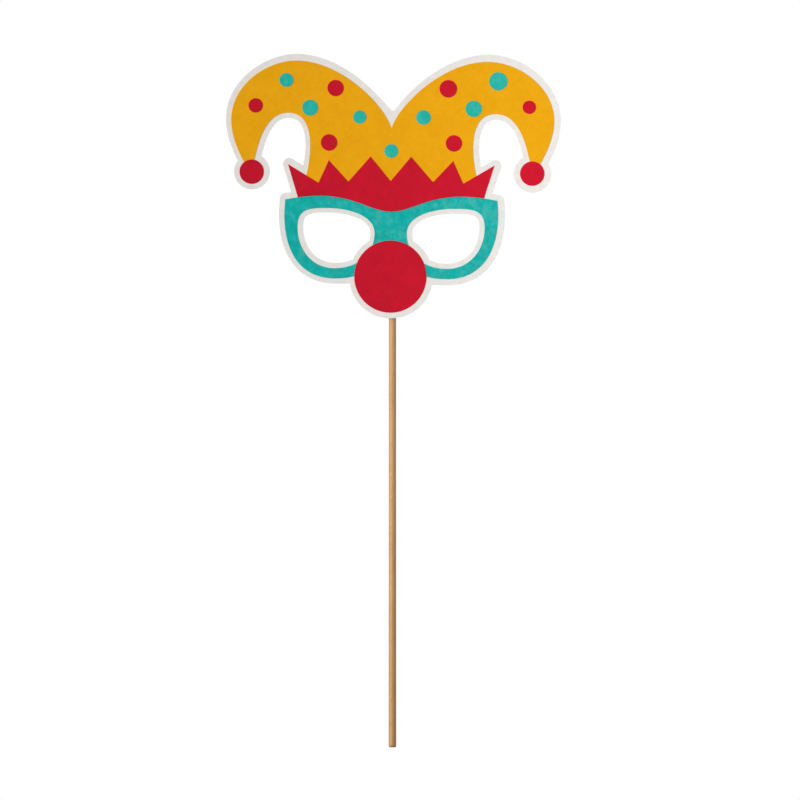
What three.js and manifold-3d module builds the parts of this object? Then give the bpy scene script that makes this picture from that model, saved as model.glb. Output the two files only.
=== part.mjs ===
// Jester party mask on a stick.
//
// A die-cut white board carries coloured sheets: a two-horned hat with dots and pompoms, a zigzag collar,
// spectacle frames round two eye openings, and a round nose. A round wooden stick is glued to the board's
// back and held there by a paper patch.
//
// Units are millimetres. +Z is up, the mask faces -Y, and the origin is the centre of the stick's bottom end.
// Outlines are drawn flat, with X across from the mask's mid-line and Y up from the centre of its nose.

import * as THREE from 'three';
import { mergeVertices } from 'three/addons/utils/BufferGeometryUtils.js';
import Module from 'manifold-3d';

// Stick
const STICK_DIAMETER = 5;
const STICK_LENGTH = 400;
const STICK_END_ROUNDING = 1.2;

// Where the mask sits on the stick: how far the stick's top end reaches above the nose's centre, the mask's
// mid-line to the left of the stick's axis, and its slight clockwise lean as seen from the front
const STICK_ABOVE_NOSE = 79.9;
const MASK_SHIFT = 1.2;
const MASK_LEAN = THREE.MathUtils.degToRad(0.5);

// Layers
const BOARD_THICKNESS = 1.2;
const SHEET_THICKNESS = 0.25;

// Glue along the stick, with heights from the nose's centre
const STICK_TO_BOARD_GAP = 0.4;
const GLUE_CLEARANCE = 0.2;
const GLUE_BOTTOM = -24;
const GLUE_TOP = 76;
const GLUE_WIDTH = 8;
const GLUE_DEPTH = 1.9;
const GLUE_EDGE = 0.1;

// Paper patch over the stick
const PATCH_BOTTOM = -8;
const PATCH_TOP = 62;
const PATCH_WIDTH = 23;
const PATCH_TENT_WIDTH = 14;
const PATCH_THICKNESS = 0.25;
const PATCH_CLEARANCE = 0.3;

// Margin of bare board that the die leaves round each coloured area. It isn't quite the same on both sides.
const NOSE_MARGIN = 3.85;
const POMPOM_MARGINS = { left: 3.85, right: 4.4 };
const COLLAR_MARGINS = {
  left: { tip: 4.1, foot: 3.95 },
  right: { tip: 3.9, foot: 3.35 },
};

// The same along curves, at their ends. It changes evenly from one end to the next.
const EYE_MARGINS = { inner: 3.35, top: 3.35, outer: 3.75, bottom: 3.25 };
const FRAME_MARGINS = {
  left: { bridge: 3.8, brow: 3.9, temple: 4.2, widest: 4.15, bottom: 3.55 },
  right: { bridge: 4.2, brow: 4.2, temple: 4.15, widest: 4.2, bottom: 3.95 },
};
const HORN_MARGINS = {
  left: { notch: 3, crown: 4.5, widest: 3.55, end: 3.35, mouth: 3.95, arch: 3.65, side: 3.7, foot: 4.3 },
  right: { notch: 4.05, crown: 5, widest: 4.45, end: 4.4, mouth: 3.8, arch: 3.65, side: 3.4, foot: 4.1 },
};

// The die's notch between the horns is filled up to a floor, with heights above the hat's own notch
const NOTCH_FLOOR_RISE = 11.9;
const NOTCH_FLOOR_HALF_WIDTH = 0.6;
const NOTCH_FILL_ACROSS = 10;
const NOTCH_FILL_RISE = 22;
const NOTCH_FILL_ROOT = 4;

// How far the die, the nose and the eye openings sit off the mirrored drawing
const DIE_SHIFT = 0.45;
const NOSE_SHIFT = -0.25;
const EYE_SHIFT = { across: 0.15, up: 0.22 };

// How far the sheets are laid off the mirrored drawing: their middle to the left, the horns' outermost edges to
// the right, and the right horn up and the left one down. The collar sits a little to the left of the others.
const LAY = { middle: -0.36, ends: 0.44, rise: 0.2 };
const COLLAR_SHIFT = -0.25;

// Nose
const NOSE_DIAMETER = 49.1;

// Spectacle frames, right half
const BRIDGE_TOP = 44.15;
const BROW_ACROSS = 48.5;
const BROW_TOP = 54.7;
const TEMPLE_ACROSS = 72.2;
const TEMPLE_TOP = 52;
const FRAME_HALF_WIDTH = 72.7;
const FRAME_WIDEST = 42;
const FRAME_BOTTOM_ACROSS = 38;
const FRAME_BOTTOM = -1.5;
const BRIDGE_BOTTOM = 16;

// Lens opening of the frames, right half
const LENS_TOP_ACROSS = 43;
const LENS_TOP = 46.4;
const LENS_OUTER = 63.7;
const LENS_OUTER_HEIGHT = 33.5;
const LENS_BOTTOM_ACROSS = 38.4;
const LENS_BOTTOM = 5.5;
const LENS_INNER = 10.9;
const LENS_INNER_HEIGHT = 29.5;

// Collar, right half, with heights above the top of the brow. Its foot is hidden by the frames' upper edge,
// which the collar's lower edge follows, and the frames' sheet laps under it.
const COLLAR_TIP_ACROSS = 70.2;
const COLLAR_TIP_RISE = 21.3;
const COLLAR_SIDE_VALLEY_ACROSS = 49.2;
const COLLAR_SIDE_VALLEY_RISE = 8.8;
const COLLAR_SIDE_PEAK_ACROSS = 42.3;
const COLLAR_SIDE_PEAK_RISE = 24.2;
const COLLAR_VALLEY_ACROSS = 28.8;
const COLLAR_VALLEY_RISE = 9.7;
const COLLAR_PEAK_ACROSS = 13.8;
const COLLAR_PEAK_RISE = 26.9;
const COLLAR_CENTRE_RISE = 10.3;
const COLLAR_FOOT_ACROSS = 59.4;
const COLLAR_FOOT_DROP = 13.8;
const FRAME_LAP = 3;
const FRAME_LAP_INSET = 1;

// Hat, right half, with heights above its lower edge, which lies under the collar. The horn's crown and arch
// are placed inward from its outermost edge.
const HAT_BASE_RISE = 4.3;
const HAT_FOOT_ACROSS = 60.4;
const NOTCH_RISE = 41.8;
const HAT_HALF_WIDTH = 109.8;
const HORN_WIDEST_RISE = 47.5;
const CROWN_INWARD = 44.8;
const CROWN_RISE = 87.5;
const HORN_ARCH_INWARD = 39.3;
const HORN_ARCH_RISE = 52;
const HORN_INNER_ACROSS = 55.4;
const HORN_INNER_RISE = 29;

// Pompoms, inward from the horn's outermost edge, and the horn's two edges where they reach a pompom, from
// its centre
const POMPOM_DIAMETER = 16.6;
const POMPOM_INWARD = 14.4;
const POMPOM_RISE = 11.7;
const HORN_END_OUTWARD = 6.2;
const HORN_END_OUTER_UP = 7.9;
const HORN_END_INWARD = 2;
const HORN_END_INNER_UP = 9.3;
const HORN_TUCK = 0.45;

// Dots on the hat, in mirrored pairs. Each pair is placed from a point of the hat or collar.
const DOT_PAIRS = [
  { name: 'dot_outer', finish: 'red', from: 'crown', across: 28.05, up: -30.7, left: 9.75, right: 9.1 },
  { name: 'dot_crown', finish: 'teal', from: 'crown', across: 7.05, up: -13.2, left: 9.45, right: 12.5 },
  { name: 'dot_slope', finish: 'red', from: 'crown', across: -26.7, up: -18.5, left: 11.1, right: 11.95 },
  { name: 'dot_horn', finish: 'teal', from: 'crown', across: -9.4, up: -32, left: 10.95, right: 11.1 },
  { name: 'dot_notch', finish: 'teal', from: 'notch', across: 21.65, up: 7.6, left: 9, right: 9.95 },
  { name: 'dot_side', finish: 'red', from: 'sidePeak', across: 0.15, up: 12, left: 11.2, right: 11.15 },
];
const CENTRE_DOT_DIAMETER = 9.35;
const CENTRE_DOT_UP = 20.5;

// How full each curve is: how far its two handles reach, as shares of its width and height
const BENDS = {
  hatSlope: { leave: [0.072, 0.347], arrive: [0.465, 0] },
  hornShoulder: { leave: [0.47, 0], arrive: [0, 0.572] },
  hornOutside: { leave: [0, 0.4], arrive: [0.45, 0.27] },
  hornInside: { leave: [0.12, 0.39], arrive: [0.66, 0] },
  archTop: { leave: [0.8, 0], arrive: [0, 0.49] },
  hatSide: { leave: [0, 0.35], arrive: [0.58, 0.35] },
  brow: { leave: [0.27, 0], arrive: [0.5, 0] },
  browToTemple: { leave: [0.32, 0], arrive: [0.35, 0.6] },
  temple: { leave: [0, 0.34], arrive: [0, 0.4] },
  cheek: { leave: [0, 0.555], arrive: [0.7, 0] },
  noseNotch: { leave: [0.75, 0], arrive: [0.26, 0] },
  lensTop: { leave: [0, 0.725], arrive: [0.43, 0] },
  lensCorner: { leave: [0.585, 0], arrive: [0, 0.985] },
  lensOutside: { leave: [0, 0.54], arrive: [0.61, 0] },
  lensInside: { leave: [0.63, 0], arrive: [0, 0.56] },
};

// How finely round shapes are cut into straight steps
const CURVE_STEPS = 26;
const STICK_SIDES = 40;
const ROUNDING_STEPS = 5;
const NOSE_SIDES = 96;
const POMPOM_SIDES = 56;
const DOT_SIDES = 36;
const CORNER_STEP = THREE.MathUtils.degToRad(9);

// Places worked out from the sizes above
const STICK_RADIUS = STICK_DIAMETER / 2;
const NOSE_HEIGHT = STICK_LENGTH - STICK_ABOVE_NOSE;
const BOARD_BACK = STICK_RADIUS + STICK_TO_BOARD_GAP;
const FIRST_LAYER = BOARD_THICKNESS;
const SECOND_LAYER = BOARD_THICKNESS + SHEET_THICKNESS;
const HAT_BASE = BROW_TOP + HAT_BASE_RISE;
const NOTCH = point(0, HAT_BASE + NOTCH_RISE);
const CROWN = point(HAT_HALF_WIDTH - CROWN_INWARD, HAT_BASE + CROWN_RISE);
const POMPOM = point(HAT_HALF_WIDTH - POMPOM_INWARD, HAT_BASE + POMPOM_RISE);
const SIDE_PEAK = point(COLLAR_SIDE_PEAK_ACROSS, BROW_TOP + COLLAR_SIDE_PEAK_RISE);
const NOSE = point(NOSE_SHIFT, 0);

const FINISHES = {
  white: { color: '#e6e1da', roughness: 0.85 },
  yellow: { color: '#ebaa1a', roughness: 0.8 },
  teal: { color: '#20b4aa', roughness: 0.8 },
  red: { color: '#c11b2d', roughness: 0.75 },
  wood: { color: '#c69969', roughness: 0.65 },
  glue: { color: '#e9e4d2', roughness: 0.3 },
};

const wasm = await Module();
wasm.setup();

// Flat drawing

function point(across, up) {
  return new THREE.Vector2(across, up);
}

// A curve between two points, bent as one of BENDS says
function curve(start, end, bend) {
  const span = end.clone().sub(start);
  const leave = point(...bend.leave).multiply(span);
  const arrive = point(...bend.arrive).multiply(span);
  return new THREE.CubicBezierCurve(start, start.clone().add(leave), end.clone().sub(arrive), end);
}

// The points along curves that follow each other
function traced(curves) {
  const points = curves.flatMap((each) => each.getPoints(CURVE_STEPS));
  return points.filter((here, index) => index === 0 || !here.equals(points[index - 1]));
}

function mirrored(points) {
  return points.map((here) => point(-here.x, here.y)).reverse();
}

// A whole outline from its right half, which starts and ends on the mid-line
function bothHalves(rightHalf) {
  return [...rightHalf, ...mirrored(rightHalf).slice(1, -1)];
}

// Where a point of the mirrored drawing lies on the sheets, which are laid a little off it
function laid(here) {
  const share = here.x / HAT_HALF_WIDTH;
  const shift = THREE.MathUtils.lerp(LAY.middle, LAY.ends, share * share);
  return point(here.x + shift, here.y + LAY.rise * share);
}

// Values for each corner of curves that follow each other, given at the curves' ends
function blended(ends) {
  const spans = ends.slice(1).flatMap((end, index) => Array.from({ length: CURVE_STEPS }, (_, step) => {
    return THREE.MathUtils.lerp(ends[index], end, (step + 1) / CURVE_STEPS);
  }));
  return [ends[0], ...spans];
}

function circle(centre, diameter, sides) {
  return Array.from({ length: sides }, (_, side) => {
    const angle = (2 * Math.PI * side) / sides;
    return point(Math.cos(angle), Math.sin(angle)).multiplyScalar(diameter / 2).add(centre);
  });
}

// The point at a distance from a corner, square to a heading and on its right-hand side
function beside(corner, heading, distance) {
  return point(Math.sin(heading), -Math.cos(heading)).multiplyScalar(distance).add(corner);
}

// An outline moved outward by a margin, or inward by a negative one. The margin is one number, or one for
// each corner. Sharp corners that stick out become arcs.
function grown(outline, margins) {
  const listed = outline.map((_, index) => (Array.isArray(margins) ? margins[index] : margins));
  const clockwise = THREE.ShapeUtils.isClockWise(outline);
  const ring = clockwise ? [...outline].reverse() : outline;
  const ringMargins = clockwise ? listed.reverse() : listed;
  return ring.flatMap((corner, index) => {
    const margin = ringMargins[index];
    const before = ring[(index + ring.length - 1) % ring.length];
    const after = ring[(index + 1) % ring.length];
    const heading = corner.clone().sub(before).angle();
    const nextHeading = after.clone().sub(corner).angle();
    const turn = THREE.MathUtils.euclideanModulo(nextHeading - heading + Math.PI, 2 * Math.PI) - Math.PI;
    if (margin < 0 || turn < CORNER_STEP) {
      return [beside(corner, heading + turn / 2, margin / Math.cos(turn / 2))];
    }
    const steps = Math.ceil(turn / CORNER_STEP);
    const headings = Array.from({ length: steps + 1 }, (_, step) => heading + (turn * step) / steps);
    return headings.map((each) => beside(corner, each, margin));
  });
}

// Solids

// A flat plate of an outline, with its back at a height over the drawing
function plate(outline, thickness, back = 0) {
  const shape = new THREE.Shape(outline);
  return new THREE.ExtrudeGeometry(shape, { depth: thickness, bevelEnabled: false }).translate(0, 0, back);
}

function toSolid(geometry) {
  const bare = geometry.clone();
  bare.deleteAttribute('normal');
  bare.deleteAttribute('uv');
  const merged = mergeVertices(bare);
  return new wasm.Manifold(new wasm.Mesh({
    numProp: 3,
    vertProperties: merged.attributes.position.array,
    triVerts: new Uint32Array(merged.index.array),
  }));
}

function toGeometry(solid) {
  const mesh = solid.getMesh();
  const geometry = new THREE.BufferGeometry();
  geometry.setAttribute('position', new THREE.BufferAttribute(mesh.vertProperties, 3));
  geometry.setIndex(new THREE.BufferAttribute(mesh.triVerts, 1));
  return geometry;
}

function joined(pieces) {
  return toGeometry(pieces.map(toSolid).reduce((whole, piece) => whole.add(piece)));
}

function cut(geometry, tools) {
  return toGeometry(tools.map(toSolid).reduce((whole, tool) => whole.subtract(tool), toSolid(geometry)));
}

function common(geometry, other) {
  return toGeometry(toSolid(geometry).intersect(toSolid(other)));
}

function piece(name, geometry, finish) {
  geometry.computeVertexNormals();
  const material = new THREE.MeshStandardMaterial({ metalness: 0, ...FINISHES[finish] });
  const mesh = new THREE.Mesh(geometry, material);
  mesh.name = name;
  return mesh;
}

// Stands a drawn plate up to face -Y
function standing(name, geometry, finish) {
  return piece(name, geometry.rotateX(Math.PI / 2), finish);
}

// Outlines

// The frames' upper edge and side, from the mid-line out and down to the lowest point of the rim
function frameSide() {
  const brow = point(BROW_ACROSS, BROW_TOP);
  const temple = point(TEMPLE_ACROSS, TEMPLE_TOP);
  const widest = point(FRAME_HALF_WIDTH, FRAME_WIDEST);
  return [
    curve(point(0, BRIDGE_TOP), brow, BENDS.brow),
    curve(brow, temple, BENDS.browToTemple),
    curve(temple, widest, BENDS.temple),
    curve(widest, point(FRAME_BOTTOM_ACROSS, FRAME_BOTTOM), BENDS.cheek),
  ];
}

function frameOutline() {
  const bottom = point(FRAME_BOTTOM_ACROSS, FRAME_BOTTOM);
  return bothHalves(traced([...frameSide(), curve(bottom, point(0, BRIDGE_BOTTOM), BENDS.noseNotch)]));
}

// The same outline with a straight lower edge behind the nose
function filledFrameOutline() {
  return bothHalves([...traced(frameSide()), point(0, FRAME_BOTTOM)]);
}

function lensOutline() {
  const top = point(LENS_TOP_ACROSS, LENS_TOP);
  const outer = point(LENS_OUTER, LENS_OUTER_HEIGHT);
  const bottom = point(LENS_BOTTOM_ACROSS, LENS_BOTTOM);
  const inner = point(LENS_INNER, LENS_INNER_HEIGHT);
  return traced([
    curve(inner, top, BENDS.lensTop),
    curve(top, outer, BENDS.lensCorner),
    curve(outer, bottom, BENDS.lensOutside),
    curve(bottom, inner, BENDS.lensInside),
  ]).slice(1);
}

// The zigzag collar before the frames cut its lower edge
function collarOutline() {
  const zigzag = [
    [0, COLLAR_CENTRE_RISE],
    [COLLAR_PEAK_ACROSS, COLLAR_PEAK_RISE],
    [COLLAR_VALLEY_ACROSS, COLLAR_VALLEY_RISE],
    [COLLAR_SIDE_PEAK_ACROSS, COLLAR_SIDE_PEAK_RISE],
    [COLLAR_SIDE_VALLEY_ACROSS, COLLAR_SIDE_VALLEY_RISE],
    [COLLAR_TIP_ACROSS, COLLAR_TIP_RISE],
    [COLLAR_FOOT_ACROSS, -COLLAR_FOOT_DROP],
    [0, -COLLAR_FOOT_DROP],
  ];
  return bothHalves(zigzag.map(([across, rise]) => point(across, BROW_TOP + rise)));
}

// The outermost tooth of the collar
function collarWingOutline() {
  return [
    point(COLLAR_SIDE_VALLEY_ACROSS, BROW_TOP + COLLAR_SIDE_VALLEY_RISE),
    point(COLLAR_TIP_ACROSS, BROW_TOP + COLLAR_TIP_RISE),
    point(COLLAR_FOOT_ACROSS, BROW_TOP - COLLAR_FOOT_DROP),
    point(COLLAR_SIDE_VALLEY_ACROSS, BROW_TOP - COLLAR_FOOT_DROP),
  ];
}

// The right horn's upper edge, from the notch to the pompom
function hornBack() {
  const widest = point(HAT_HALF_WIDTH, HAT_BASE + HORN_WIDEST_RISE);
  const end = point(HORN_END_OUTWARD, HORN_END_OUTER_UP).add(POMPOM);
  return traced([
    curve(NOTCH, CROWN, BENDS.hatSlope),
    curve(CROWN, widest, BENDS.hornShoulder),
    curve(widest, end, BENDS.hornOutside),
  ]);
}

// The right horn's lower edge, from the pompom under the arch and down to the hat's foot
function hornArch() {
  const end = point(-HORN_END_INWARD, HORN_END_INNER_UP).add(POMPOM);
  const archTop = point(HAT_HALF_WIDTH - HORN_ARCH_INWARD, HAT_BASE + HORN_ARCH_RISE);
  const side = point(HORN_INNER_ACROSS, HAT_BASE + HORN_INNER_RISE);
  return traced([
    curve(end, archTop, BENDS.hornInside),
    curve(archTop, side, BENDS.archTop),
    curve(side, point(HAT_FOOT_ACROSS, HAT_BASE), BENDS.hatSide),
  ]);
}

// Right half of the hat, with the horn's end tucked under the pompom
function hatHalf() {
  const back = hornBack();
  const arch = hornArch();
  const tucked = [back.at(-1), arch[0]].map((end) => POMPOM.clone().lerp(end, HORN_TUCK));
  return [...back, ...tucked, ...arch, point(0, HAT_BASE)];
}

// The board under the right half of the hat, with the margins of one side
function hatBlank({ notch, crown, widest, end, mouth, arch, side, foot }) {
  const upper = blended([notch, crown, widest, end]);
  const lower = blended([mouth, arch, side, foot]);
  return grown(hatHalf(), [...upper, end, mouth, ...lower, foot]);
}

// The board under the right half of the frames, with the margins of one side
function frameBlank({ bridge, brow, temple, widest, bottom }) {
  const half = [...traced(frameSide()), point(0, FRAME_BOTTOM)];
  return grown(half, [...blended([bridge, brow, temple, widest, bottom]), bottom]);
}

// Fills the notch between the two sides' hat blanks
function notchFill() {
  const half = [
    [0, NOTCH_FLOOR_RISE],
    [NOTCH_FLOOR_HALF_WIDTH, NOTCH_FLOOR_RISE],
    [NOTCH_FILL_ACROSS, NOTCH_FILL_RISE],
    [0, NOTCH_FILL_ROOT],
  ];
  return bothHalves(half.map(([across, rise]) => point(across, rise).add(NOTCH)));
}

// Pieces of the mask, drawn flat with the board's back at height 0

// The outlines that the board has for one side's pieces, drawn on the right
function boardSide(side) {
  const { tip, foot } = COLLAR_MARGINS[side];
  return [
    hatBlank(HORN_MARGINS[side]),
    frameBlank(FRAME_MARGINS[side]),
    circle(POMPOM, POMPOM_DIAMETER + 2 * POMPOM_MARGINS[side], POMPOM_SIDES),
    grown(collarWingOutline(), [tip, tip, foot, foot]),
  ];
}

// The two punches that cut the eye openings
function eyePunches() {
  const { inner, top, outer, bottom } = EYE_MARGINS;
  const margins = blended([inner, top, outer, bottom, inner]).slice(1);
  const eye = grown(lensOutline(), margins.map((margin) => -margin));
  return [eye, mirrored(eye)].map((outline) => {
    const punch = plate(outline, 3 * BOARD_THICKNESS, -BOARD_THICKNESS);
    return punch.translate(EYE_SHIFT.across - DIE_SHIFT, EYE_SHIFT.up, 0);
  });
}

function maskBoard() {
  const outlines = [
    ...boardSide('right'),
    ...boardSide('left').map(mirrored),
    collarOutline(),
    notchFill(),
  ];
  const blank = joined(outlines.map((outline) => plate(outline, BOARD_THICKNESS)));
  const nosePad = circle(NOSE, NOSE_DIAMETER + 2 * NOSE_MARGIN, NOSE_SIDES);
  const board = joined([cut(blank, eyePunches()), plate(nosePad, BOARD_THICKNESS)]);
  return standing('mask_board', board.translate(DIE_SHIFT, 0, 0), 'white');
}

// A sheet's outline as laid, cut out on one of the two layers
function sheet(outline, layer) {
  return plate(outline.map(laid), SHEET_THICKNESS, layer);
}

function hatSheet() {
  return standing('hat_sheet', sheet(bothHalves(hatHalf()), FIRST_LAYER), 'yellow');
}

// The frames, with a strip along the upper edge that laps under the collar
function glassesSheet() {
  const frame = sheet(frameOutline(), FIRST_LAYER);
  const raised = frame.clone().translate(0, FRAME_LAP, 0);
  const underCollar = sheet(grown(collarOutline(), -FRAME_LAP_INSET), FIRST_LAYER);
  const lens = lensOutline();
  const punches = [lens, mirrored(lens)].map((outline) => plate(outline.map(laid), 3 * BOARD_THICKNESS));
  return standing('glasses_sheet', cut(joined([frame, common(raised, underCollar)]), punches), 'teal');
}

function collarSheet() {
  const blank = sheet(collarOutline(), SECOND_LAYER).translate(COLLAR_SHIFT, 0, 0);
  const frameCutter = plate(filledFrameOutline().map(laid), 3 * BOARD_THICKNESS);
  return standing('collar_sheet', cut(blank, [frameCutter]), 'red');
}

// A round spot on the second layer
function spot(name, centre, diameter, sides, finish) {
  return standing(name, plate(circle(centre, diameter, sides), SHEET_THICKNESS, SECOND_LAYER), finish);
}

// A pair of spots, mirrored before they are laid, whose diameters may differ
function spotPair(name, centre, diameters, sides, finish) {
  const mirrorCentre = point(-centre.x, centre.y);
  return [
    spot(`${name}_left`, laid(mirrorCentre), diameters.left, sides, finish),
    spot(`${name}_right`, laid(centre), diameters.right, sides, finish),
  ];
}

function dots() {
  const starts = { crown: CROWN, notch: NOTCH, sidePeak: SIDE_PEAK };
  const pairs = DOT_PAIRS.flatMap(({ name, finish, from, across, up, left, right }) => {
    const centre = point(across, up).add(starts[from]);
    return spotPair(name, centre, { left, right }, DOT_SIDES, finish);
  });
  const centre = point(0, BROW_TOP + COLLAR_CENTRE_RISE + CENTRE_DOT_UP);
  return [...pairs, spot('dot_centre', laid(centre), CENTRE_DOT_DIAMETER, DOT_SIDES, 'teal')];
}

function mask() {
  const group = new THREE.Group();
  const pompoms = { left: POMPOM_DIAMETER, right: POMPOM_DIAMETER };
  group.add(
    maskBoard(),
    hatSheet(),
    glassesSheet(),
    collarSheet(),
    spot('nose_disc', NOSE, NOSE_DIAMETER, NOSE_SIDES, 'red'),
    ...spotPair('pompom', POMPOM, pompoms, POMPOM_SIDES, 'red'),
    ...dots(),
  );
  group.position.set(-MASK_SHIFT, -BOARD_BACK, NOSE_HEIGHT);
  group.rotation.y = MASK_LEAN;
  return group;
}

// Stick and its fixing

// Half of the stick's lengthwise section, with rounded ends round a flat middle
function stickProfile() {
  const flat = STICK_RADIUS - STICK_END_ROUNDING;
  const bottomEdge = Array.from({ length: ROUNDING_STEPS + 1 }, (_, step) => {
    const angle = (Math.PI / 2) * (step / ROUNDING_STEPS);
    return point(flat + STICK_END_ROUNDING * Math.sin(angle), STICK_END_ROUNDING * (1 - Math.cos(angle)));
  });
  const topEdge = bottomEdge.map((here) => point(here.x, STICK_LENGTH - here.y)).reverse();
  return [point(0, 0), ...bottomEdge, ...topEdge, point(0, STICK_LENGTH)];
}

function stick() {
  return piece('stick', new THREE.LatheGeometry(stickProfile(), STICK_SIDES).rotateX(Math.PI / 2), 'wood');
}

// Plan of the glue: a fillet on both sides of the stick, drawn with the board's back along Y = 0
function glueBead() {
  const axis = point(0, BOARD_BACK);
  const radius = STICK_RADIUS + GLUE_CLEARANCE;
  const edgeAngle = Math.asin((GLUE_DEPTH - BOARD_BACK) / radius);
  const groove = Array.from({ length: STICK_SIDES / 2 + 1 }, (_, step) => {
    const angle = edgeAngle - (Math.PI + 2 * edgeAngle) * (step / (STICK_SIDES / 2));
    return point(Math.cos(angle), Math.sin(angle)).multiplyScalar(radius).add(axis);
  });
  const outline = [
    point(-GLUE_WIDTH / 2, 0),
    point(GLUE_WIDTH / 2, 0),
    point(groove[0].x + GLUE_EDGE, GLUE_DEPTH),
    ...groove,
    point(-groove[0].x - GLUE_EDGE, GLUE_DEPTH),
  ];
  return piece('glue_bead', plate(outline, GLUE_TOP - GLUE_BOTTOM, GLUE_BOTTOM), 'glue');
}

// The space under the patch: round over the stick, with straight sides down to the board
function tentOutline() {
  const axis = point(0, BOARD_BACK);
  const radius = STICK_RADIUS + PATCH_CLEARANCE;
  const foot = point(PATCH_TENT_WIDTH / 2, 0);
  const reach = foot.distanceTo(axis);
  const start = foot.clone().sub(axis).angle() - 2 * Math.PI + Math.acos(radius / reach);
  const arc = Array.from({ length: STICK_SIDES / 2 + 1 }, (_, step) => {
    const angle = start + (Math.PI - 2 * start) * (step / (STICK_SIDES / 2));
    return point(Math.cos(angle), Math.sin(angle)).multiplyScalar(radius).add(axis);
  });
  return [point(-foot.x, 0), foot, ...arc];
}

function backingPatch() {
  const height = PATCH_TOP - PATCH_BOTTOM;
  const half = PATCH_WIDTH / 2;
  const corners = (low, high) => [point(-half, low), point(half, low), point(half, high), point(-half, high)];
  const flanges = corners(0, PATCH_THICKNESS);
  const below = corners(-half, 0);
  const tent = grown(tentOutline(), PATCH_THICKNESS);
  const cover = joined([flanges, tent].map((each) => plate(each, height, PATCH_BOTTOM)));
  const cutters = [tentOutline(), below].map((each) => plate(each, 2 * height, PATCH_BOTTOM - height / 2));
  return piece('backing_patch', cut(cover, cutters), 'white');
}

function fixing() {
  const group = new THREE.Group();
  group.add(glueBead(), backingPatch());
  group.position.set(0, -BOARD_BACK, NOSE_HEIGHT);
  return group;
}

const part = new THREE.Group();
part.add(stick(), mask(), fixing());

export default part;
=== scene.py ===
"""A jester's party mask on a wooden stick, dressed and lit for a studio photograph.

The mask is a die-cut white board with thin coloured sheets pasted on its front in two layers. Its stick is a
wooden dowel, glued along the board's back and covered there with a paper patch. All places are in metres:
the stick stands along Z on its bottom end, and the mask faces -Y.
"""

import logging
import math
from collections.abc import Iterator
from contextlib import contextmanager
from dataclasses import dataclass
from enum import Enum

import bmesh
import bpy
from mathutils import Matrix, Vector
from mathutils.bvhtree import BVHTree


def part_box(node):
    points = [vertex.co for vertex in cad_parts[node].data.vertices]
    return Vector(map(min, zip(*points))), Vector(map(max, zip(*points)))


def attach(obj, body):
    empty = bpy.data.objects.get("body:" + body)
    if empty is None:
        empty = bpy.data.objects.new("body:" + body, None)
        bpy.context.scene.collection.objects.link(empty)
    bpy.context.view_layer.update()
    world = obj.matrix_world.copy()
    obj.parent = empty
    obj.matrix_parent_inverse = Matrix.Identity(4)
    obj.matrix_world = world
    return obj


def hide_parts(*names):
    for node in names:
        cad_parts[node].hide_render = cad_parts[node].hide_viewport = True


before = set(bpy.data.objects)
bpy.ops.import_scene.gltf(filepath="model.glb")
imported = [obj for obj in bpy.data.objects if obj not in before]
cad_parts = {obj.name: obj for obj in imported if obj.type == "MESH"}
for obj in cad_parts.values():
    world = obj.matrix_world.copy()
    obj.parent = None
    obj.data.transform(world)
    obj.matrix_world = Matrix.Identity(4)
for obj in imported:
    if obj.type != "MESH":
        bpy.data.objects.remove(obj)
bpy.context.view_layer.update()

Rgba = tuple[float, float, float, float]
Triple = tuple[float, float, float]
Piece = bpy.types.Object
Material = bpy.types.Material
Socket = bpy.types.NodeSocket

log = logging.getLogger("mask_on_stick")

MM = 0.001
BODY = "root"

# Heights of the mask's layers along Y, from the board's back to the front of the upper sheets
BOARD_BACK = -2.9 * MM
BOARD_FRONT = -4.1 * MM
SHEET_THICKNESS = 0.25 * MM
LOWER_SHEET_FRONT = BOARD_FRONT - SHEET_THICKNESS
UPPER_SHEET_FRONT = LOWER_SHEET_FRONT - SHEET_THICKNESS
LEVEL_TOLERANCE = 0.01 * MM

# How near two corners of the solid model lie that are one, and how flat two of its faces meet that are one
WELD_DISTANCE = 0.002 * MM
FLAT_ANGLE = math.radians(0.4)

# The largest share of a cut side's normal that lies along Y
SIDE_LEAN = 0.5

# How wide one ring of the wave pattern is at a scale of one
WAVE_RING = 0.314

WHITE = "FFFFFF"


class Slot(Enum):
    """The record's material slots that the pieces take their finish from."""

    BOARD = "white_board"
    PATCH = "patch_paper"
    YELLOW = "yellow_sheet"
    TEAL = "teal_sheet"
    RED = "red_sheet"
    WOOD = "stick_wood"
    GLUE = "glue"


class Band(Enum):
    """How much of a pattern shows: the strengths at which it begins and at which it is full."""

    BROAD = (0.3, 0.7)
    GRAIN = (0.33, 0.67)
    MILKY = (0.35, 0.65)
    EVEN = (0.38, 0.62)
    FLECKS = (0.6, 0.72)
    HAIRS = (0.69, 0.74)
    PORES = (0.61, 0.7)
    END_PORES = (0.6, 0.68)


def linear(code: str) -> Rgba:
    """Turns a display colour into the linear colour that a shader takes.

    Args:
        code: Six hexadecimal figures, two each for red, green and blue.

    Returns:
        The linear red, green and blue, and a full alpha.
    """
    shares = [int(code[start : start + 2], 16) / 255 for start in (0, 2, 4)]
    red, green, blue = (s / 12.92 if s <= 0.04045 else ((s + 0.055) / 1.055) ** 2.4 for s in shares)
    return red, green, blue, 1.0


# Modelling


def deselect_all() -> None:
    """Leaves nothing selected or active."""
    for thing in bpy.context.selected_objects:
        thing.select_set(False)
    bpy.context.view_layer.objects.active = None


def take_up(piece: Piece) -> None:
    """Makes a piece the only one selected, and the active one.

    Args:
        piece: The piece.
    """
    deselect_all()
    piece.select_set(True)
    bpy.context.view_layer.objects.active = piece


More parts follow.
